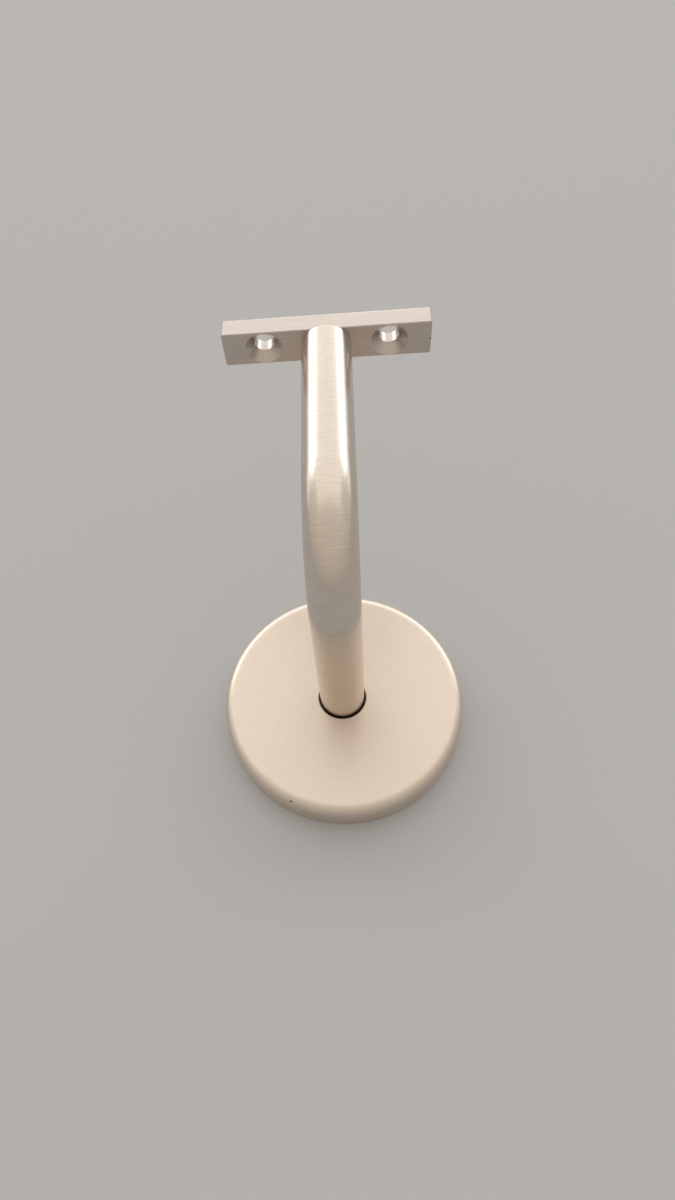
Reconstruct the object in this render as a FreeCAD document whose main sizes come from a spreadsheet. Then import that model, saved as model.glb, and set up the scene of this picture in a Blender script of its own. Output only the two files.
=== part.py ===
"""Wall bracket for a handrail: a bent round bar between a wall flange and a rail plate,
with a loose pressed cover over the flange.

Millimetres. The origin is the centre of the flange's back face, which lies on the wall.
+Z is the wall's normal, +Y the way the arm bends towards the rail, +X runs along the rail.
"""

import FreeCAD, Part
import math
import os

import Sketcher

os.makedirs("parts", exist_ok=True)
doc = FreeCAD.newDocument("handrail_bracket")

# Driving dimensions, each written once
DRIVING_SIZES = [
    ("arm_diameter", 14.0, "round bar"),
    ("arm_height", 90.0, "wall to the centreline of the bar's upper run"),
    ("arm_reach", 72.0, "centreline of the lower run to the rail plate's near face"),
    ("bend_radius", 26.0, "of the bar's centreline"),
    ("arm_foot_recess", 1.0, "the bar's foot stops this far inside the flange's back face"),
    ("arm_end_round", 0.6, "rounding round the bar's end at the rail plate"),
    ("cover_diameter", 76.0, "outside of the pressed cover"),
    ("cover_sheet", 1.2, "sheet thickness of the cover"),
    ("cover_bend", 3.2, "outside radius of the cover's pressed edge"),
    ("cover_rim_break", 0.3, "deburring of the cover's cut edges"),
    ("arm_gap", 0.5, "cover's hole to the bar, all round"),
    ("flange_gap", 1.8, "cover's side wall to the flange's rim, all round"),
    ("screw_head_room", 4.3, "flange's front face to the underside of the cover"),
    ("flange_thickness", 5.0, "wall flange"),
    ("flange_edge_break", 0.5, "chamfer round the flange's front rim"),
    ("wall_hole_diameter", 6.5, "wall screw holes"),
    ("wall_hole_inset", 10.0, "flange's rim to the centres of the wall screw holes"),
    ("wall_hole_count", 3, "wall screw holes"),
    ("weld_leg", 2.5, "leg of the fillet weld between bar and flange"),
    ("plate_length", 58.0, "rail plate, along the rail"),
    ("plate_width", 11.0, "rail plate, across the rail"),
    ("plate_thickness", 6.0, "rail plate"),
    ("plate_corner_break", 0.4, "chamfer on the rail plate's four corners"),
    ("plate_near_break", 0.2, "chamfer round the rail plate's near face"),
    ("plate_rail_round", 0.6, "rounding round the rail plate's face under the rail"),
    ("rail_hole_inset", 11.5, "plate's end to the centre of the rail screw hole"),
    ("rail_hole_diameter", 5.5, "rail screw holes"),
    ("rail_sink_diameter", 10.4, "mouth of the countersinks"),
    ("rail_sink_angle", 90.0, "degrees, countersinks"),
]

sizes = doc.addObject("Spreadsheet::Sheet", "sizes")
for row, (alias, value, meaning) in enumerate(DRIVING_SIZES, start=1):
    sizes.set(f"A{row}", alias)
    sizes.set(f"B{row}", str(value))
    sizes.set(f"C{row}", meaning)
    sizes.setAlias(f"B{row}", alias)
doc.recompute()

# Sizes that follow from the driving ones, as expressions
ARM_RADIUS = "sizes.arm_diameter / 2"
COVER_RADIUS = "sizes.cover_diameter / 2"
COVER_HEIGHT = "(sizes.flange_thickness + sizes.screw_head_room + sizes.cover_sheet)"
COVER_HOLE_RADIUS = f"({ARM_RADIUS} + sizes.arm_gap)"
COVER_INSIDE_BEVEL = "((sizes.cover_bend - sizes.cover_sheet) * (2 - sqrt(2)))"
FLANGE_RADIUS = f"({COVER_RADIUS} - sizes.cover_sheet - sizes.flange_gap)"
WALL_HOLE_CIRCLE_RADIUS = f"({FLANGE_RADIUS} - sizes.wall_hole_inset)"
PLATE_BOTTOM = "(sizes.arm_height - sizes.plate_width / 2)"
RAIL_HOLE_OFFSET = "(sizes.plate_length / 2 - sizes.rail_hole_inset)"

ORIGIN_POINT = (-1, 1)
SAME_PLACE = 1e-4


def new_body(label):
    """A sub-part: one body whose label names its file."""
    body = doc.addObject("PartDesign::Body", label)
    body.Label = label
    return body


def origin_feature(body, role):
    """One of the body's own origin planes or axes, found by its role."""
    return next(feature for feature in body.Origin.OriginFeatures if feature.Role == role)


def new_sketch(body, name, role, offset=None):
    """A sketch on one of the body's origin planes, moved along its normal by an expression."""
    sketch = body.newObject("Sketcher::SketchObject", name)
    sketch.AttachmentSupport = [(origin_feature(body, role), "")]
    sketch.MapMode = "FlatFace"
    if offset:
        sketch.setExpression("AttachmentOffset.Base.z", offset)
    return sketch


def line(sketch, start, end):
    """Adds a straight edge and returns its index."""
    segment = Part.LineSegment(FreeCAD.Vector(*start, 0), FreeCAD.Vector(*end, 0))
    return sketch.addGeometry(segment, False)


def arc(sketch, centre, radius, start_deg, end_deg):
    """Adds an arc, anticlockwise from start to end, and returns its index."""
    circle = Part.Circle(FreeCAD.Vector(*centre, 0), FreeCAD.Vector(0, 0, 1), radius)
    ends = math.radians(start_deg), math.radians(end_deg)
    return sketch.addGeometry(Part.ArcOfCircle(circle, *ends), False)


def circle(sketch, centre, radius):
    """Adds a full circle and returns its index."""
    round_edge = Part.Circle(FreeCAD.Vector(*centre, 0), FreeCAD.Vector(0, 0, 1), radius)
    return sketch.addGeometry(round_edge, False)


def start_of(edge):
    """A sketch edge's first point, as constraints name it."""
    return edge, 1


def end_of(edge):
    """A sketch edge's last point."""
    return edge, 2


def centre_of(edge):
    """The centre of a sketch arc or circle."""
    return edge, 3


def join(sketch, *pairs):
    """Makes pairs of points coincide."""
    for first, second in pairs:
        sketch.addConstraint(Sketcher.Constraint("Coincident", *first, *second))


def smooth(sketch, *pairs):
    """Makes pairs of edges meet in line at these of their ends."""
    for first, second in pairs:
        sketch.addConstraint(Sketcher.Constraint("Tangent", *first, *second))


def above_origin(sketch, point):
    """Puts a point on the sketch's upright axis."""
    sketch.addConstraint(Sketcher.Constraint("Vertical", *ORIGIN_POINT, *point))


def beside_origin(sketch, point):
    """Puts a point on the sketch's level axis."""
    sketch.addConstraint(Sketcher.Constraint("Horizontal", *ORIGIN_POINT, *point))


def level(sketch, *edges):
    for edge in edges:
        sketch.addConstraint(Sketcher.Constraint("Horizontal", edge))


def upright(sketch, *edges):
    for edge in edges:
        sketch.addConstraint(Sketcher.Constraint("Vertical", edge))


def size(sketch, name, kind, where, expression):
    """A named dimension in the sketch, bound to the sheet."""
    start_value = value_of(expression)
    index = sketch.addConstraint(Sketcher.Constraint(kind, *where, start_value))
    sketch.renameConstraint(index, name)
    sketch.setExpression(f"Constraints.{name}", expression)


def value_of(expression):
    """The number that an expression on the sheet gives now."""
    result = sizes.evalExpression(expression)
    return float(getattr(result, "Value", result))


def across(point):
    """Where a DistanceX or DistanceY runs: from the sketch's origin to the point."""
    return (*ORIGIN_POINT, *point)


def from_to(edge):
    """Where a DistanceX or DistanceY runs: along the whole of an edge."""
    return (*start_of(edge), *end_of(edge))


def edges_where(feature, test):
    """Names of the feature's edges that pass the test."""
    return [f"Edge{i}" for i, edge in enumerate(feature.Shape.Edges, start=1) if test(edge)]


def is_ring(edge, radius, centre):
    """Whether an edge is a full circle of this radius round this point."""
    curve = edge.Curve
    if not isinstance(curve, Part.Circle) or not edge.isClosed():
        return False
    return abs(curve.Radius - radius) < SAME_PLACE and curve.Center.distanceToPoint(centre) < SAME_PLACE


def break_edges(body, name, base, edge_names, expression):
    """A chamfer on the named edges of the base feature."""
    chamfer = body.newObject("PartDesign::Chamfer", name)
    chamfer.Base = (base, edge_names)
    chamfer.setExpression("Size", expression)
    body.Tip = chamfer
    doc.recompute()
    return chamfer


def round_edges(body, name, base, edge_names, expression):
    """A rounding on the named edges of the base feature."""
    rounding = body.newObject("PartDesign::Fillet", name)
    rounding.Base = (base, edge_names)
    rounding.setExpression("Radius", expression)
    body.Tip = rounding
    doc.recompute()
    return rounding


def make_arm_bar():
    """The round bar, swept along a straight, one bend and a straight."""
    body = new_body("arm_bar")
    rise = value_of("sizes.arm_height")
    reach = value_of("sizes.arm_reach")
    bend = value_of("sizes.bend_radius")
    foot = value_of("sizes.arm_foot_recess")

    path = new_sketch(body, "arm_path", "YZ_Plane")
    lower = line(path, (0, foot), (0, rise - bend))
    elbow = arc(path, (bend, rise - bend), bend, 90, 180)
    upper = line(path, (bend, rise), (reach, rise))
    smooth(path, (end_of(lower), end_of(elbow)), (start_of(elbow), start_of(upper)))
    upright(path, lower)
    level(path, upper)
    above_origin(path, start_of(lower))
    size(path, "foot", "DistanceY", across(start_of(lower)), "sizes.arm_foot_recess")
    size(path, "rise", "DistanceY", across(end_of(upper)), "sizes.arm_height")
    size(path, "reach", "DistanceX", across(end_of(upper)), "sizes.arm_reach")
    size(path, "bend", "Radius", (elbow,), "sizes.bend_radius")

    section = new_sketch(body, "arm_section", "XY_Plane", "sizes.arm_foot_recess")
    outline = circle(section, (0, 0), value_of(ARM_RADIUS))
    join(section, (ORIGIN_POINT, centre_of(outline)))
    size(section, "radius", "Radius", (outline,), ARM_RADIUS)

    sweep = body.newObject("PartDesign::AdditivePipe", "arm_sweep")
    sweep.Profile = section
    sweep.Spine = (path, [])
    body.Tip = sweep
    doc.recompute()

    end_centre = FreeCAD.Vector(0, reach, rise)
    end_rim = edges_where(sweep, lambda edge: is_ring(edge, value_of(ARM_RADIUS), end_centre))
    round_edges(body, "arm_end_rounding", sweep, end_rim, "sizes.arm_end_round")
    return body


def make_wall_flange():
    """The screwed disc: a turned blank bored for the bar, with a ring of screw holes."""
    body = new_body("wall_flange")
    disc_sketch = new_sketch(body, "disc_outline", "XY_Plane")
    rim = circle(disc_sketch, (0, 0), value_of(FLANGE_RADIUS))
    bore = circle(disc_sketch, (0, 0), value_of(ARM_RADIUS))
    join(disc_sketch, (ORIGIN_POINT, centre_of(rim)), (ORIGIN_POINT, centre_of(bore)))
    size(disc_sketch, "rim", "Radius", (rim,), FLANGE_RADIUS)
    size(disc_sketch, "bore", "Radius", (bore,), ARM_RADIUS)
    disc = body.newObject("PartDesign::Pad", "disc")
    disc.Profile = disc_sketch
    disc.setExpression("Length", "sizes.flange_thickness")
    body.Tip = disc
    doc.recompute()

    hole_sketch = new_sketch(body, "wall_hole_place", "XY_Plane", "sizes.flange_thickness")
    place = circle(hole_sketch, (0, value_of(WALL_HOLE_CIRCLE_RADIUS)), value_of("sizes.wall_hole_diameter / 2"))
    above_origin(hole_sketch, centre_of(place))
    size(hole_sketch, "circle", "DistanceY", across(centre_of(place)), WALL_HOLE_CIRCLE_RADIUS)
    size(hole_sketch, "hole", "Radius", (place,), "sizes.wall_hole_diameter / 2")
    doc.recompute()
    drilled = body.newObject("PartDesign::Hole", "wall_hole")
    drilled.Profile = hole_sketch
    drilled.DepthType = "ThroughAll"
    drilled.setExpression("Diameter", "sizes.wall_hole_diameter")
    body.Tip = drilled
    doc.recompute()

    ring = body.newObject("PartDesign::PolarPattern", "wall_holes")
    ring.Originals = [drilled]
    ring.Axis = (origin_feature(body, "Z_Axis"), [""])
    ring.Angle = 360
    ring.setExpression("Occurrences", "sizes.wall_hole_count")
    body.Tip = ring
    doc.recompute()

    front_centre = FreeCAD.Vector(0, 0, value_of("sizes.flange_thickness"))
    front_rim = edges_where(ring, lambda edge: is_ring(edge, value_of(FLANGE_RADIUS), front_centre))
    break_edges(body, "front_rim_break", ring, front_rim, "sizes.flange_edge_break")
    return body


def make_flange_weld_bead():
    """The fillet weld round the bar on the flange's front face."""
    body = new_body("flange_weld_bead")
    root = value_of(ARM_RADIUS)
    leg = value_of("sizes.weld_leg")
    front = value_of("sizes.flange_thickness")

    profile = new_sketch(body, "bead_profile", "XZ_Plane")
    on_flange = line(profile, (root, front), (root + leg, front))
    face = line(profile, (root + leg, front), (root, front + leg))
    on_bar = line(profile, (root, front + leg), (root, front))
    join(profile, (end_of(on_flange), start_of(face)), (end_of(face), start_of(on_bar)))
    join(profile, (end_of(on_bar), start_of(on_flange)))
    level(profile, on_flange)
    upright(profile, on_bar)
    size(profile, "bar_surface", "DistanceX", across(start_of(on_flange)), ARM_RADIUS)
    size(profile, "flange_surface", "DistanceY", across(start_of(on_flange)), "sizes.flange_thickness")
    size(profile, "leg_on_flange", "DistanceX", from_to(on_flange), "sizes.weld_leg")
    size(profile, "leg_on_bar", "DistanceY", (*end_of(on_bar), *start_of(on_bar)), "sizes.weld_leg")

    bead = body.newObject("PartDesign::Revolution", "bead")
    bead.Profile = profile
    bead.ReferenceAxis = (profile, ["V_Axis"])
    bead.Angle = 360
    body.Tip = bead
    doc.recompute()
    return body


def make_rail_plate():
    """The flat bar across the arm's end, with two countersunk holes for the rail's screws."""
    body = new_body("rail_plate")
    half = value_of("sizes.plate_length / 2")
    low = value_of(PLATE_BOTTOM)
    high = low + value_of("sizes.plate_width")
    near = value_of("sizes.arm_reach")
    far = near + value_of("sizes.plate_thickness")

    outline = new_sketch(body, "plate_outline", "XZ_Plane", "-sizes.arm_reach")
    bottom = line(outline, (-half, low), (half, low))
    right = line(outline, (half, low), (half, high))
    top = line(outline, (half, high), (-half, high))
    left = line(outline, (-half, high), (-half, low))
    join(outline, (end_of(bottom), start_of(right)), (end_of(right), start_of(top)))
    join(outline, (end_of(top), start_of(left)), (end_of(left), start_of(bottom)))
    level(outline, bottom, top)
    upright(outline, left, right)
    size(outline, "half_length", "DistanceX", across(end_of(bottom)), "sizes.plate_length / 2")
    size(outline, "full_length", "DistanceX", from_to(bottom), "sizes.plate_length")
    size(outline, "underside", "DistanceY", across(end_of(bottom)), PLATE_BOTTOM)
    size(outline, "width", "DistanceY", from_to(right), "sizes.plate_width")
    bar = body.newObject("PartDesign::Pad", "bar")
    bar.Profile = outline
    bar.Reversed = True
    bar.setExpression("Length", "sizes.plate_thickness")
    body.Tip = bar
    doc.recompute()

    def is_corner(edge):
        points = [vertex.Point for vertex in edge.Vertexes]
        return abs(abs(points[0].y - points[1].y) - (far - near)) < SAME_PLACE

    corners = break_edges(body, "corner_break", bar, edges_where(bar, is_corner), "sizes.plate_corner_break")

    def outlines_face_at(depth):
        return lambda edge: all(abs(vertex.Point.y - depth) < SAME_PLACE for vertex in edge.Vertexes)

    near_outline = edges_where(corners, outlines_face_at(near))
    near_broken = break_edges(body, "near_face_break", corners, near_outline, "sizes.plate_near_break")
    far_outline = edges_where(near_broken, outlines_face_at(far))
    round_edges(body, "rail_face_rounding", near_broken, far_outline, "sizes.plate_rail_round")

    hole_sketch = new_sketch(body, "rail_hole_places", "XZ_Plane", "-sizes.arm_reach")
    radius = value_of("sizes.rail_hole_diameter / 2")
    for name, side in (("left", -1), ("right", 1)):
        offset = side * value_of(RAIL_HOLE_OFFSET)
        place = circle(hole_sketch, (offset, value_of("sizes.arm_height")), radius)
        span = across(centre_of(place)) if side > 0 else (*centre_of(place), *ORIGIN_POINT)
        size(hole_sketch, f"{name}_offset", "DistanceX", span, RAIL_HOLE_OFFSET)
        size(hole_sketch, f"{name}_height", "DistanceY", across(centre_of(place)), "sizes.arm_height")
        size(hole_sketch, f"{name}_radius", "Radius", (place,), "sizes.rail_hole_diameter / 2")
    doc.recompute()
    holes = body.newObject("PartDesign::Hole", "rail_holes")
    holes.Profile = hole_sketch
    holes.DepthType = "ThroughAll"
    holes.HoleCutType = "Countersink"
    holes.setExpression("Diameter", "sizes.rail_hole_diameter")
    holes.HoleCutCustomValues = True
    holes.setExpression("HoleCutDiameter", "sizes.rail_sink_diameter")
    holes.setExpression("HoleCutCountersinkAngle", "sizes.rail_sink_angle")
    body.Tip = holes
    doc.recompute()
    return body


def make_cover_rosette():
    """The loose cover, pressed from sheet: a flat face, a rounded edge, a side wall, a pierced hole.

    The inside corner is a bevel that touches the round concentric with the outside, so that the
    sheet thins a little in the bend.
    """
    body = new_body("cover_rosette")
    radius = value_of(COVER_RADIUS)
    sheet = value_of("sizes.cover_sheet")
    bend = value_of("sizes.cover_bend")
    bevel = value_of(COVER_INSIDE_BEVEL)
    height = value_of(COVER_HEIGHT)

    profile = new_sketch(body, "cover_profile", "XZ_Plane")
    wall = line(profile, (radius, 0), (radius, height - bend))
    outer_bend = arc(profile, (radius - bend, height - bend), bend, 0, 90)
    face = line(profile, (radius - bend, height), (0, height))
    middle = line(profile, (0, height), (0, height - sheet))
    underside = line(profile, (0, height - sheet), (radius - sheet - bevel, height - sheet))
    corner = line(profile, (radius - sheet - bevel, height - sheet), (radius - sheet, height - sheet - bevel))
    inside = line(profile, (radius - sheet, height - sheet - bevel), (radius - sheet, 0))
    rim = line(profile, (radius - sheet, 0), (radius, 0))
    smooth(profile, (end_of(wall), start_of(outer_bend)), (end_of(outer_bend), start_of(face)))
    join(profile, (end_of(face), start_of(middle)), (end_of(middle), start_of(underside)))
    join(profile, (end_of(underside), start_of(corner)), (end_of(corner), start_of(inside)))
    join(profile, (end_of(inside), start_of(rim)), (end_of(rim), start_of(wall)))
    level(profile, face, underside, rim)
    upright(profile, wall, middle, inside)
    above_origin(profile, start_of(middle))
    beside_origin(profile, start_of(rim))
    size(profile, "radius", "DistanceX", across(start_of(wall)), COVER_RADIUS)
    size(profile, "height", "DistanceY", across(start_of(middle)), COVER_HEIGHT)
    size(profile, "side_sheet", "DistanceX", from_to(rim), "sizes.cover_sheet")
    size(profile, "face_sheet", "DistanceY", (*end_of(middle), *start_of(middle)), "sizes.cover_sheet")
    size(profile, "bend", "Radius", (outer_bend,), "sizes.cover_bend")
    size(profile, "bevel_width", "DistanceX", from_to(corner), COVER_INSIDE_BEVEL)
    size(profile, "bevel_height", "DistanceY", (*end_of(corner), *start_of(corner)), COVER_INSIDE_BEVEL)

    shell = body.newObject("PartDesign::Revolution", "pressed_shell")
    shell.Profile = profile
    shell.ReferenceAxis = (profile, ["V_Axis"])
    shell.Angle = 360
    body.Tip = shell
    doc.recompute()

    hole_sketch = new_sketch(body, "arm_hole_outline", "XY_Plane", COVER_HEIGHT)
    outline = circle(hole_sketch, (0, 0), value_of(COVER_HOLE_RADIUS))
    join(hole_sketch, (ORIGIN_POINT, centre_of(outline)))
    size(hole_sketch, "radius", "Radius", (outline,), COVER_HOLE_RADIUS)
    pierced = body.newObject("PartDesign::Pocket", "arm_hole")
    pierced.Profile = hole_sketch
    pierced.Type = "ThroughAll"
    body.Tip = pierced
    doc.recompute()

    hole_radius = value_of(COVER_HOLE_RADIUS)
    front, back = FreeCAD.Vector(0, 0, height), FreeCAD.Vector(0, 0, 0)
    cut_edges = edges_where(
        pierced,
        lambda edge: is_ring(edge, hole_radius, front) or is_ring(edge, radius, back),
    )
    break_edges(body, "cut_edge_break", pierced, cut_edges, "sizes.cover_rim_break")
    return body


bodies = [
    make_arm_bar(),
    make_wall_flange(),
    make_flange_weld_bead(),
    make_rail_plate(),
    make_cover_rosette(),
]
doc.recompute()

# Nothing is written unless every object solved and every solid is sound
for item in doc.Objects:
    if "Invalid" in item.State or "Error" in item.State:
        raise RuntimeError(f"{item.Name} did not solve: {item.State}")
for body in bodies:
    shape = body.Shape
    if shape.isNull() or not shape.isValid() or len(shape.Solids) != 1:
        raise RuntimeError(f"{body.Label} is not one valid solid")

# The cuts and the sweep took away and added what they should
arm_length = (
    value_of("sizes.arm_height") - value_of("sizes.arm_foot_recess") + value_of("sizes.arm_reach")
    - (2 - math.pi / 2) * value_of("sizes.bend_radius")
)
arm_volume = math.pi * value_of(ARM_RADIUS) ** 2 * arm_length
if abs(doc.getObject("arm_sweep").Shape.Volume / arm_volume - 1) > 1e-3:
    raise RuntimeError("the bar's sweep lost its section")
drilled_volume = (
    math.pi * value_of("sizes.wall_hole_diameter / 2") ** 2
    * value_of("sizes.flange_thickness") * value_of("sizes.wall_hole_count")
)
blank_volume = doc.getObject("disc").Shape.Volume
if abs(blank_volume - doc.getObject("wall_holes").Shape.Volume - drilled_volume) > 1:
    raise RuntimeError("the wall screw holes do not go through")
if doc.getObject("rail_holes").Shape.Volume >= doc.getObject("rail_face_rounding").Shape.Volume:
    raise RuntimeError("the rail screw holes cut nothing")
if doc.getObject("arm_hole").Shape.Volume >= doc.getObject("pressed_shell").Shape.Volume:
    raise RuntimeError("the cover's hole cut nothing")

for body in bodies:
    body.Shape.exportStep(f"parts/{body.Label}.step")
    box = body.Shape.optimalBoundingBox()
    print(
        f"{body.Label}: {body.Shape.Volume / 1000:.2f} cm3, "
        f"x {box.XMin:.2f} to {box.XMax:.2f}, y {box.YMin:.2f} to {box.YMax:.2f}, "
        f"z {box.ZMin:.2f} to {box.ZMax:.2f}"
    )
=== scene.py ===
"""Handrail bracket in satin stainless steel, standing on its wall side.

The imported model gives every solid. This script gives the steel its finishes, runs the rippled weld
bead round the foot of the arm, and sets up the floor, the lamps and the camera.
"""

import math

import bpy
from mathutils import Matrix, Vector


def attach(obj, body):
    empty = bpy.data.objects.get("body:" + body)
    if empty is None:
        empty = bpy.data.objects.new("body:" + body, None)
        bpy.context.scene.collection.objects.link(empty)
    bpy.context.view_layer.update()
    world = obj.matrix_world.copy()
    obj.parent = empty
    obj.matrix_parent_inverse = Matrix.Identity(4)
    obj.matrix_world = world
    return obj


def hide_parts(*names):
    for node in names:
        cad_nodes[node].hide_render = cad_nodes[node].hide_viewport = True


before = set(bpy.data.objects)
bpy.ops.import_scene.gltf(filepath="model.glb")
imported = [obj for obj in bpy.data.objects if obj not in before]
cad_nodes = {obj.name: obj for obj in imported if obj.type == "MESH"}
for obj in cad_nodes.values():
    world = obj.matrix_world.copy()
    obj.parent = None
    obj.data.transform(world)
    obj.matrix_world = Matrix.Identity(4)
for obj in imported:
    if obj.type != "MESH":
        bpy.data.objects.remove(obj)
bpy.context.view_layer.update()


# The wall flange
# A disc cut by laser from 5 mm stainless plate and left in its dull mill finish, with three screw
# holes. The heat of the weld has coloured it in rings round the arm: blue, violet, straw.

FLANGE_RADIUS = 0.035
LASER_EDGE = (FLANGE_RADIUS - 0.0004, FLANGE_RADIUS - 0.0001)
LASER_DRAWN = (1.0, 1.0, 0.06)
ROLL_DRAWN = (0.25, 1.0, 1.0)
ROLL_SHARE = 0.15
MILL_DEPTH = 0.00006
MILL_ROUGHNESS = (0.36, 0.50)
MILL_CLOUD = (0.44, 0.43, 0.41, 1.0)
CLOUD_SHARE = (0.0, 0.35)
BEAD_FOOT_RADIUS = 0.0095
HEAT_REACH = (BEAD_FOOT_RADIUS, 0.0205)
HEAT_WANDER = (-0.0009, 0.0009)
HEAT_COLOURS = [
    (0.00, (0.30, 0.31, 0.33, 1.0)),
    (0.10, (0.20, 0.25, 0.38, 1.0)),
    (0.24, (0.33, 0.24, 0.36, 1.0)),
    (0.38, (0.46, 0.31, 0.20, 1.0)),
    (0.58, (0.60, 0.48, 0.30, 1.0)),
    (1.00, (0.57, 0.55, 0.52, 1.0)),
]
# The span that a pattern of speckles mostly keeps to, and that of a softer one
SPECKLE_SPAN = (0.3, 0.7)
SOFT_SPAN = (0.35, 0.65)


def add_node(tree, kind, sockets, **settings):
    """One shader node, its sockets filled by a value or by another node's output."""
    made = tree.nodes.new(kind)
    for name, value in settings.items():
        setattr(made, name, value)
    for key, value in sockets.items():
        if isinstance(value, bpy.types.NodeSocket):
            tree.links.new(value, made.inputs[key])
        else:
            made.inputs[key].default_value = value
    return made


def maths(tree, operation, first, second=0.0):
    """The result of one sum on two numbers."""
    return add_node(tree, "ShaderNodeMath", {0: first, 1: second}, operation=operation).outputs[0]


def plus(tree, first, second):
    """Two numbers added."""
    return maths(tree, "ADD", first, second)


def times(tree, first, second):
    """Two numbers multiplied."""
    return maths(tree, "MULTIPLY", first, second)


def far_from(tree, first, second):
    """How far a place is from an axis, by its two numbers across it."""
    squares = plus(tree, maths(tree, "POWER", first, 2.0), maths(tree, "POWER", second, 2.0))
    return maths(tree, "SQRT", squares)


def spread(tree, value, span, new_span):
    """A number carried from one span to another and held inside it."""
    sockets = {"Value": value, "From Min": span[0], "From Max": span[1]}
    sockets.update({"To Min": new_span[0], "To Max": new_span[1]})
    return add_node(tree, "ShaderNodeMapRange", sockets).outputs["Result"]


def speckle(tree, vector, lumps, detail=3.0):
    """Smooth noise from 0 to 1, with so many lumps to a metre."""
    sockets = {"Vector": vector, "Scale": lumps, "Detail": detail, "Roughness": 0.55}
    return add_node(tree, "ShaderNodeTexNoise", sockets).outputs["Fac"]


def stretch(tree, vector, scale):
    """The same place with its three numbers scaled, which draws a pattern out."""
    return add_node(tree, "ShaderNodeMapping", {"Vector": vector, "Scale": scale}).outputs[0]


def blend(tree, amount, first, second):
    """A colour between two others."""
    made = tree.nodes.new("ShaderNodeMix")
    made.data_type = "RGBA"
    for socket, value in ((0, amount), (6, first), (7, second)):
        if isinstance(value, bpy.types.NodeSocket):
            tree.links.new(value, made.inputs[socket])
        else:
            made.inputs[socket].default_value = value
    return made.outputs[2]


def ramp(tree, value, stops):
    """A colour read from a strip of stops, each a place and a colour."""
    made = add_node(tree, "ShaderNodeValToRGB", {"Fac": value})
    strip = made.color_ramp.elements
    while len(strip) < len(stops):
        strip.new(0.5)
    for stop, (where, colour) in zip(strip, stops):
        stop.position = where
        stop.color = colour
    return made.outputs["Color"]


def steel(name, anisotropy=0.0, turned=0.0):
    """A bare steel: its material, tree, shader, object coordinates and their three numbers."""
    material = bpy.data.materials.new(name)
    material.use_nodes = True
    tree = material.node_tree
    shader = tree.nodes["Principled BSDF"]
    shader.inputs["Metallic"].default_value = 1.0
    shader.inputs["Anisotropic"].default_value = anisotropy
    shader.inputs["Anisotropic Rotation"].default_value = turned
    place = tree.nodes.new("ShaderNodeTexCoord").outputs["Object"]
    xyz = add_node(tree, "ShaderNodeSeparateXYZ", {0: place}).outputs
    return material, tree, shader, place, xyz


def surface(tree, shader, colour, roughness, height, depth, strength=0.5):
    """Colour, roughness and fine relief, whose height from 0 to 1 stands for so many metres."""
    tree.links.new(colour, shader.inputs["Base Color"])
    tree.links.new(roughness, shader.inputs["Roughness"])
    sockets = {"Height": height, "Distance": depth, "Strength": strength}
    bump = add_node(tree, "ShaderNodeBump", sockets)
    tree.links.new(bump.outputs["Normal"], shader.inputs["Normal"])


mill_steel, tree, shader, place, xyz = steel("flange_mill_steel")
from_axis = far_from(tree, xyz[0], xyz[1])
wandering = spread(tree, speckle(tree, place, lumps=160.0), SPECKLE_SPAN, HEAT_WANDER)
heat = spread(tree, plus(tree, from_axis, wandering), HEAT_REACH, (0.0, 1.0))
heat_rings = ramp(tree, heat, HEAT_COLOURS)
cloudy = spread(tree, speckle(tree, place, lumps=70.0, detail=2.0), SOFT_SPAN, CLOUD_SHARE)
mill_tone = blend(tree, cloudy, heat_rings, MILL_CLOUD)
rolled = speckle(tree, stretch(tree, place, ROLL_DRAWN), lumps=900.0, detail=5.0)
laser_lines = speckle(tree, stretch(tree, place, LASER_DRAWN), lumps=2600.0, detail=2.0)
on_edge = spread(tree, from_axis, LASER_EDGE, (0.0, 1.0))
mill_height = plus(tree, times(tree, rolled, ROLL_SHARE), times(tree, laser_lines, on_edge))
mill_shine = spread(tree, rolled, SPECKLE_SPAN, MILL_ROUGHNESS)
surface(tree, shader, mill_tone, mill_shine, mill_height, MILL_DEPTH, strength=0.8)
cad_nodes["wall_flange"].data.materials[0] = mill_steel


# The arm
# One length of 14 mm round bar, bent cold through a right angle and ground on a belt while it
# turns, so that the fine marks run round it and the light is drawn out along it.

BEND_RADIUS = 0.026
BEND_START = 0.064
BAR_DRAWN = 0.05
BAR_DEPTH = 0.000001
BAR_TONES = (0.662, 0.592, 0.517, 1.0), (0.713, 0.643, 0.568, 1.0)
BAR_ROUGHNESS = (0.25, 0.26)
HANDLED_ROUGHNESS = (-0.015, 0.02)
# The span that fine ground marks mostly keep to
MARKS_SPAN = (0.36, 0.64)


def minus(tree, first, second):
    """One number less another."""
    return maths(tree, "SUBTRACT", first, second)


def combine(tree, x, y, z):
    """Three numbers as one vector."""
    return add_node(tree, "ShaderNodeCombineXYZ", {"X": x, "Y": y, "Z": z}).outputs[0]


def layered(tree, fine, broad, share):
    """Fine marks with so large a share of broad ones among them."""
    return plus(tree, times(tree, fine, 1.0 - share), times(tree, broad, share))


def toned(tree, marks, tones):
    """The darker tone down in the marks and the lighter one between them."""
    return blend(tree, spread(tree, marks, MARKS_SPAN, (0.0, 1.0)), *tones)


def lay_grain(tree, shader, direction):
    """Gives the shader the direction that its uneven gloss is measured from."""
    unit = add_node(tree, "ShaderNodeVectorMath", {0: direction}, operation="NORMALIZE")
    tree.links.new(unit.outputs[0], shader.inputs["Tangent"])


bar_satin, tree, shader, place, xyz = steel("bar_satin_steel", anisotropy=0.4)
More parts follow.
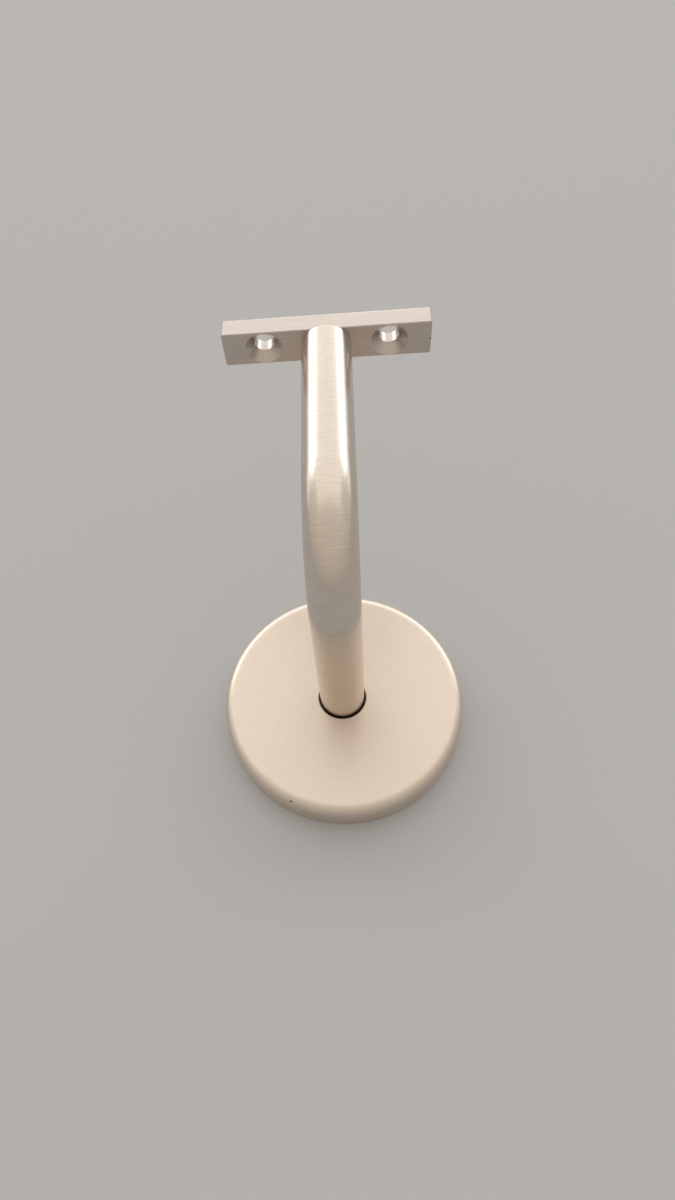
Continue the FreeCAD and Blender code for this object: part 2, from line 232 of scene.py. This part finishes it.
# How far along the bar a place is from its foot: up, round the bend, then level
past_bend = minus(tree, xyz[1], BEND_RADIUS)
before_level = times(tree, maths(tree, "MINIMUM", past_bend, 0.0), -1.0)
above_upright = maths(tree, "MAXIMUM", minus(tree, xyz[2], BEND_START), 0.0)
lay_grain(tree, shader, combine(tree, 0.0, above_upright, before_level))
across = minus(tree, far_from(tree, before_level, above_upright), BEND_RADIUS)
turned_by = maths(tree, "ARCTAN2", above_upright, before_level)
upright_run = maths(tree, "MINIMUM", xyz[2], BEND_START)
level_run = maths(tree, "MAXIMUM", past_bend, 0.0)
straight_runs = plus(tree, upright_run, level_run)
run = plus(tree, straight_runs, times(tree, turned_by, BEND_RADIUS))
round_the_bar = combine(tree, times(tree, xyz[0], BAR_DRAWN), times(tree, across, BAR_DRAWN), run)
fine_marks = speckle(tree, round_the_bar, lumps=3000.0, detail=1.0)
broad_marks = speckle(tree, round_the_bar, lumps=520.0, detail=2.0)
ground = layered(tree, fine_marks, broad_marks, share=0.15)
handled = speckle(tree, place, lumps=60.0, detail=2.0)
bar_shine = plus(tree, spread(tree, ground, MARKS_SPAN, BAR_ROUGHNESS),
                 spread(tree, handled, SOFT_SPAN, HANDLED_ROUGHNESS))
surface(tree, shader, toned(tree, ground, BAR_TONES), bar_shine, fine_marks, BAR_DEPTH)
cad_nodes["arm_bar"].data.materials[0] = bar_satin


# The weld bead
# A run of filler rod fused round the foot of the arm, one ripple after the other, blue and straw
# from the heat. Each ripple is a lens of metal that lies on the slope of the fillet and leans the
# way the torch went, and no two are quite alike; together they are fused into one bead.

FLANGE_FACE = 0.005
RIPPLES = 38
RIPPLE_RING = 0.00772
RIPPLE_HEIGHT = 0.00574
RIPPLE_SIZE = (0.00102, 0.00128, 0.00212)
RIPPLE_LEAN = math.radians(24)
FILLET_SLOPE = math.radians(-45)
# How much a ripple's place round the ring and its size wander, and how fast from one to the next
TURN_WANDER = 0.016
TURN_RATE = 2.4
SIZE_WANDER = 0.04
SIZE_RATE = 1.7
FUSING_VOXEL = 0.00014
BEAD_DEPTH = 0.00001
BEAD_ROUGHNESS = (0.22, 0.36)
BEAD_COLOURS = [
    (0.28, (0.24, 0.29, 0.42, 1.0)),
    (0.44, (0.42, 0.33, 0.40, 1.0)),
    (0.56, (0.58, 0.47, 0.30, 1.0)),
    (0.72, (0.62, 0.60, 0.57, 1.0)),
]

bpy.ops.object.select_all(action="DESELECT")
ripples = []
for number in range(RIPPLES):
    turn = 2 * math.pi * number / RIPPLES + TURN_WANDER * math.sin(TURN_RATE * number)
    fullness = 1.0 + SIZE_WANDER * math.sin(SIZE_RATE * number)
    centre = Vector((RIPPLE_RING * math.cos(turn), RIPPLE_RING * math.sin(turn), RIPPLE_HEIGHT))
    bpy.ops.mesh.primitive_uv_sphere_add(segments=20, ring_count=12, radius=1.0)
    ripple = bpy.context.object
    ripple.matrix_world = (
        Matrix.Translation(centre)
        @ Matrix.Rotation(turn, 4, "Z")
        @ Matrix.Rotation(FILLET_SLOPE, 4, "Y")
        @ Matrix.Rotation(RIPPLE_LEAN, 4, "X")
        @ Matrix.Diagonal((*(fullness * side for side in RIPPLE_SIZE), 1.0))
    )
    ripples.append(ripple)
for ripple in ripples:
    ripple.select_set(True)
bpy.context.view_layer.objects.active = ripples[0]
bpy.ops.object.join()
bead = bpy.context.object
bead.name = bead.data.name = "weld_bead"
bpy.ops.object.transform_apply(location=True, rotation=True, scale=True)
fuse = bead.modifiers.new("fuse", "REMESH")
fuse.mode = "VOXEL"
fuse.voxel_size = FUSING_VOXEL
settle = bead.modifiers.new("settle", "SMOOTH")
settle.factor = 0.5
settle.iterations = 4
for modifier in ("fuse", "settle"):
    bpy.ops.object.modifier_apply(modifier=modifier)

# The lenses reach into the flange, so the bead is cut off level with its face and closed below
bpy.ops.object.mode_set(mode="EDIT")
bpy.ops.mesh.select_all(action="SELECT")
bpy.ops.mesh.bisect(plane_co=(0.0, 0.0, FLANGE_FACE), plane_no=(0.0, 0.0, 1.0),
                    threshold=0.000001, clear_inner=True)
bpy.ops.mesh.bridge_edge_loops()
bpy.ops.mesh.select_all(action="SELECT")
bpy.ops.mesh.normals_make_consistent(inside=False)
bpy.ops.object.mode_set(mode="OBJECT")
bpy.ops.object.shade_smooth_by_angle(angle=math.radians(60))

bead_steel, tree, shader, place, xyz = steel("weld_bead_steel")
bloom = speckle(tree, place, lumps=420.0)
bead_shine = spread(tree, bloom, SPECKLE_SPAN, BEAD_ROUGHNESS)
bead_grain = speckle(tree, place, lumps=5200.0, detail=2.0)
surface(tree, shader, ramp(tree, bloom, BEAD_COLOURS), bead_shine, bead_grain, BEAD_DEPTH)
bead.data.materials.clear()
bead.data.materials.append(bead_steel)
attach(bead, "bracket")
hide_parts("flange_weld_bead")


# The rail plate
# A short piece of flat bar, ground along its length and welded flush to the end of the arm. Its two
# countersinks were turned with a cutter that left fine rings.

SINK_OFFSET = 0.0175
RAIL_HEIGHT = 0.090
SINK_MOUTH = (0.0052, 0.0051)
SINK_FLOOR = (0.0745, 0.0744)
SINK_DRAWN = 0.02
PLATE_DRAWN = (0.014, 1.0, 1.0)
PLATE_DEPTH = 0.0000005
PLATE_TONES = (0.570, 0.517, 0.472, 1.0), (0.622, 0.569, 0.524, 1.0)
PLATE_ROUGHNESS = (0.295, 0.31)
END_NICK = (0.0287, 0.0722, 0.0896)
END_NICK_TONE = (0.20, 0.16, 0.13, 1.0)
END_NICK_DEPTH = 100.0
# The part of a nick's reach over which it is at its full depth
NICK_CORE = 0.35


def close_to(tree, place, point, reach):
    """1 at a point of the surface, down to 0 at this distance from it."""
    sockets = {0: place, 1: point}
    apart = add_node(tree, "ShaderNodeVectorMath", sockets, operation="DISTANCE").outputs["Value"]
    return spread(tree, apart, (NICK_CORE * reach, reach), (1.0, 0.0))


plate_satin, tree, shader, place, xyz = steel("plate_satin_steel", anisotropy=0.4, turned=0.25)
lay_grain(tree, shader, combine(tree, 1.0, 0.0, 0.0))
drawn_out = stretch(tree, place, PLATE_DRAWN)
fine_lines = speckle(tree, drawn_out, lumps=3600.0, detail=1.0)
broad_lines = speckle(tree, drawn_out, lumps=1500.0, detail=2.0)
lengthwise = layered(tree, fine_lines, broad_lines, share=0.15)
# Inside a countersink the rings take the place of the long marks
sideways = minus(tree, maths(tree, "ABSOLUTE", xyz[0]), SINK_OFFSET)
upwards = minus(tree, xyz[2], RAIL_HEIGHT)
from_hole = far_from(tree, sideways, upwards)
round_the_hole = combine(tree, times(tree, sideways, SINK_DRAWN), times(tree, upwards, SINK_DRAWN),
                         from_hole)
rings = speckle(tree, round_the_hole, lumps=4600.0, detail=2.0)
in_sink = times(tree, spread(tree, from_hole, SINK_MOUTH, (0.0, 1.0)),
                spread(tree, xyz[1], SINK_FLOOR, (0.0, 1.0)))
marks = blend(tree, in_sink, lengthwise, rings)
marks = add_node(tree, "ShaderNodeSeparateColor", {0: marks}).outputs[0]
nick = times(tree, close_to(tree, place, END_NICK, reach=0.0005),
             close_to(tree, place, END_NICK, reach=0.0012))
plate_tone = blend(tree, nick, toned(tree, marks, PLATE_TONES), END_NICK_TONE)
plate_shine = spread(tree, marks, MARKS_SPAN, PLATE_ROUGHNESS)
plate_height = minus(tree, marks, times(tree, nick, END_NICK_DEPTH))
surface(tree, shader, plate_tone, plate_shine, plate_height, PLATE_DEPTH)
cad_nodes["rail_plate"].data.materials[0] = plate_satin


# The cover rosette
# A cap pressed from 1.2 mm sheet and polished while it turns, so its fine marks run in rings round
# the middle. It is loose on the arm and drops over the flange and its screws.

COVER_DRAWN = 0.0016
COVER_DEPTH = 0.000001
COVER_TONES = (0.705, 0.620, 0.530, 1.0), (0.740, 0.655, 0.565, 1.0)
COVER_CLOUD = (0.755, 0.650, 0.565, 1.0)
COVER_CLOUD_SHARE = (0.0, 0.30)
COVER_ROUGHNESS = (0.385, 0.415)
CLOUD_ROUGHNESS = (-0.012, 0.018)
EDGE_NICK = (-0.0164, -0.0336, 0.0095)
EDGE_NICK_TONE = (0.10, 0.08, 0.06, 1.0)
EDGE_NICK_DEPTH = 40.0

cover_satin, tree, shader, place, xyz = steel("cover_satin_steel", anisotropy=0.3, turned=0.25)
lay_grain(tree, shader, combine(tree, times(tree, xyz[1], -1.0), xyz[0], 0.0))
# Marks that hardly change round the axis, and quickly outwards and down the side wall
outwards = far_from(tree, xyz[0], xyz[1])
unit_x = maths(tree, "DIVIDE", xyz[0], outwards)
unit_y = maths(tree, "DIVIDE", xyz[1], outwards)
down_the_wall = minus(tree, outwards, xyz[2])
turning = combine(tree, times(tree, unit_x, COVER_DRAWN), times(tree, unit_y, COVER_DRAWN),
                  down_the_wall)
fine_rings = speckle(tree, turning, lumps=3200.0, detail=1.0)
broad_rings = speckle(tree, turning, lumps=600.0, detail=2.0)
polish = layered(tree, fine_rings, broad_rings, share=0.2)
soft_cloud = speckle(tree, place, lumps=42.0, detail=2.0)
clouded = spread(tree, soft_cloud, SOFT_SPAN, COVER_CLOUD_SHARE)
clouded_tone = blend(tree, clouded, toned(tree, polish, COVER_TONES), COVER_CLOUD)
nick = close_to(tree, place, EDGE_NICK, reach=0.0006)
cover_tone = blend(tree, nick, clouded_tone, EDGE_NICK_TONE)
cover_shine = plus(tree, spread(tree, polish, MARKS_SPAN, COVER_ROUGHNESS),
                   spread(tree, soft_cloud, SOFT_SPAN, CLOUD_ROUGHNESS))
cover_height = minus(tree, polish, times(tree, nick, EDGE_NICK_DEPTH))
surface(tree, shader, cover_tone, cover_shine, cover_height, COVER_DEPTH)
cad_nodes["cover_rosette"].data.materials[0] = cover_satin


# The floor
# A plain pale board, matt all over, which isn't part of the object. It lies a hair below the
# flange, so that the two faces don't share one plane.

FLOOR_RADIUS = 4.0
FLOOR_DROP = 0.00005
FLOOR_TONE = (0.470, 0.480, 0.490, 1.0)

bpy.ops.object.select_all(action="DESELECT")
bpy.ops.mesh.primitive_circle_add(vertices=96, radius=FLOOR_RADIUS, fill_type="NGON",
                                  location=(0.0, 0.0, -FLOOR_DROP))
floor = bpy.context.object
floor.name = "floor"
floor_paint = bpy.data.materials.new("floor_paint")
floor_paint.use_nodes = True
floor_shader = floor_paint.node_tree.nodes["Principled BSDF"]
floor_shader.inputs["Base Color"].default_value = FLOOR_TONE
floor_shader.inputs["Roughness"].default_value = 0.9
floor_shader.inputs["Specular IOR Level"].default_value = 0.0
floor.data.materials.append(floor_paint)


# The lamps
# Three soft boxes stand side by side behind the bracket, the outer two the brighter, with a dimmer
# strip under each of those, and a wide soft box hangs over it.

LAMP_TARGET = Vector((0.0, 0.02, 0.04))


def soft_box(name, azimuth, elevation, distance, width, height, radiance, colour):
    """A rectangular lamp that faces the bracket, as bright as a surface of that radiance."""
    lamp = bpy.data.lights.new(name, "AREA")
    lamp.shape = "RECTANGLE"
    lamp.size = width
    lamp.size_y = height
    lamp.energy = radiance * math.pi * width * height
    lamp.color = colour
    stand = bpy.data.objects.new(name, lamp)
    bpy.context.scene.collection.objects.link(stand)
    turn, rise = math.radians(azimuth), math.radians(elevation)
    level = math.cos(rise)
    outward = Vector((math.sin(turn) * level, math.cos(turn) * level, math.sin(rise)))
    stand.location = outward * distance + LAMP_TARGET
    stand.rotation_euler = outward.to_track_quat("Z", "Y").to_euler()
    stand.visible_camera = False


soft_box("back_box_left", -43, 17.5, 8.0, 4.3, 2.5, 2.6, (1.0, 0.985, 0.955))
soft_box("back_box_right", 42, 17.5, 8.0, 4.3, 2.1, 2.6, (0.985, 0.985, 1.0))
soft_box("back_box_middle", 0, 16, 8.0, 7.6, 3.8, 1.4, (1.0, 0.98, 0.96))
soft_box("low_strip_left", -47, 4.2, 8.2, 7.0, 1.3, 0.9, (1.0, 0.96, 0.90))
soft_box("low_strip_right", 46, 4.8, 8.2, 7.0, 1.5, 0.7, (0.985, 0.98, 1.0))
soft_box("top_box", 0, 62, 1.4, 3.0, 1.9, 0.42, (1.0, 0.955, 0.91))


# The room
# Pale walls and ceiling all round, warmer in front of the bracket than behind it. They meet the
# floor in a soft cove instead of a hard line.

LOW_WALLS = [
    (0.0, (0.43, 0.390, 0.350, 1.0)),
    (0.5, (0.58, 0.545, 0.510, 1.0)),
    (1.0, (0.80, 0.785, 0.770, 1.0)),
]
HIGH_WALLS = [
    (0.1, (0.68, 0.610, 0.540, 1.0)),
    (0.5, (0.72, 0.660, 0.600, 1.0)),
    (0.9, (0.74, 0.720, 0.700, 1.0)),
]
COVE = (0.445, 0.435, 0.415, 1.0)
COVE_RISE = (-0.02, 0.05)
WALL_RISE = (0.02, 0.6)

world = bpy.data.worlds.new("pale_room")
bpy.context.scene.world = world
world.use_nodes = True
tree = world.node_tree
direction = tree.nodes.new("ShaderNodeTexCoord").outputs["Generated"]
ways = add_node(tree, "ShaderNodeSeparateXYZ", {0: direction}).outputs
towards_back = spread(tree, ways[1], (-1.0, 1.0), (0.0, 1.0))
up_the_wall = spread(tree, ways[2], WALL_RISE, (0.0, 1.0))
off_the_floor = spread(tree, ways[2], COVE_RISE, (0.0, 1.0))
low_walls = ramp(tree, towards_back, LOW_WALLS)
high_walls = ramp(tree, towards_back, HIGH_WALLS)
walls = blend(tree, up_the_wall, low_walls, high_walls)
room = blend(tree, off_the_floor, COVE, walls)
tree.links.new(room, tree.nodes["Background"].inputs["Color"])
tree.nodes["Background"].inputs["Strength"].default_value = 1.0


# The camera
# A wide lens close above the bracket and in front of it, as in the photograph.

IMAGE_LONG_SIDE = 1200.0
IMAGE_MIDDLE = (337.5, 600.0)
FOCAL_PIXELS = 790.79
LENS_AXIS = (288.62, 606.75)
EYE = Vector((0.00588, -0.10157, 0.24493))
YAW, PITCH, ROLL = (math.radians(degrees) for degrees in (-9.86, -59.62, -10.69))

ahead = Vector((math.sin(YAW) * math.cos(PITCH), math.cos(YAW) * math.cos(PITCH), math.sin(PITCH)))
level_right = Vector((math.cos(YAW), -math.sin(YAW), 0.0))
level_up = level_right.cross(ahead)
right = level_right * math.cos(ROLL) + level_up * math.sin(ROLL)
up = level_up * math.cos(ROLL) - level_right * math.sin(ROLL)
camera_data = bpy.data.cameras.new("camera")
camera_data.sensor_width = 36.0
camera_data.lens = FOCAL_PIXELS * camera_data.sensor_width / IMAGE_LONG_SIDE
camera_data.shift_x = (IMAGE_MIDDLE[0] - LENS_AXIS[0]) / IMAGE_LONG_SIDE
camera_data.shift_y = (LENS_AXIS[1] - IMAGE_MIDDLE[1]) / IMAGE_LONG_SIDE
camera_data.clip_start = 0.01
camera = bpy.data.objects.new("camera", camera_data)
bpy.context.scene.collection.objects.link(camera)
camera.matrix_world = Matrix.Translation(EYE) @ Matrix((right, up, -ahead)).transposed().to_4x4()
bpy.context.scene.camera = camera
bpy.context.scene.view_settings.view_transform = "Standard"
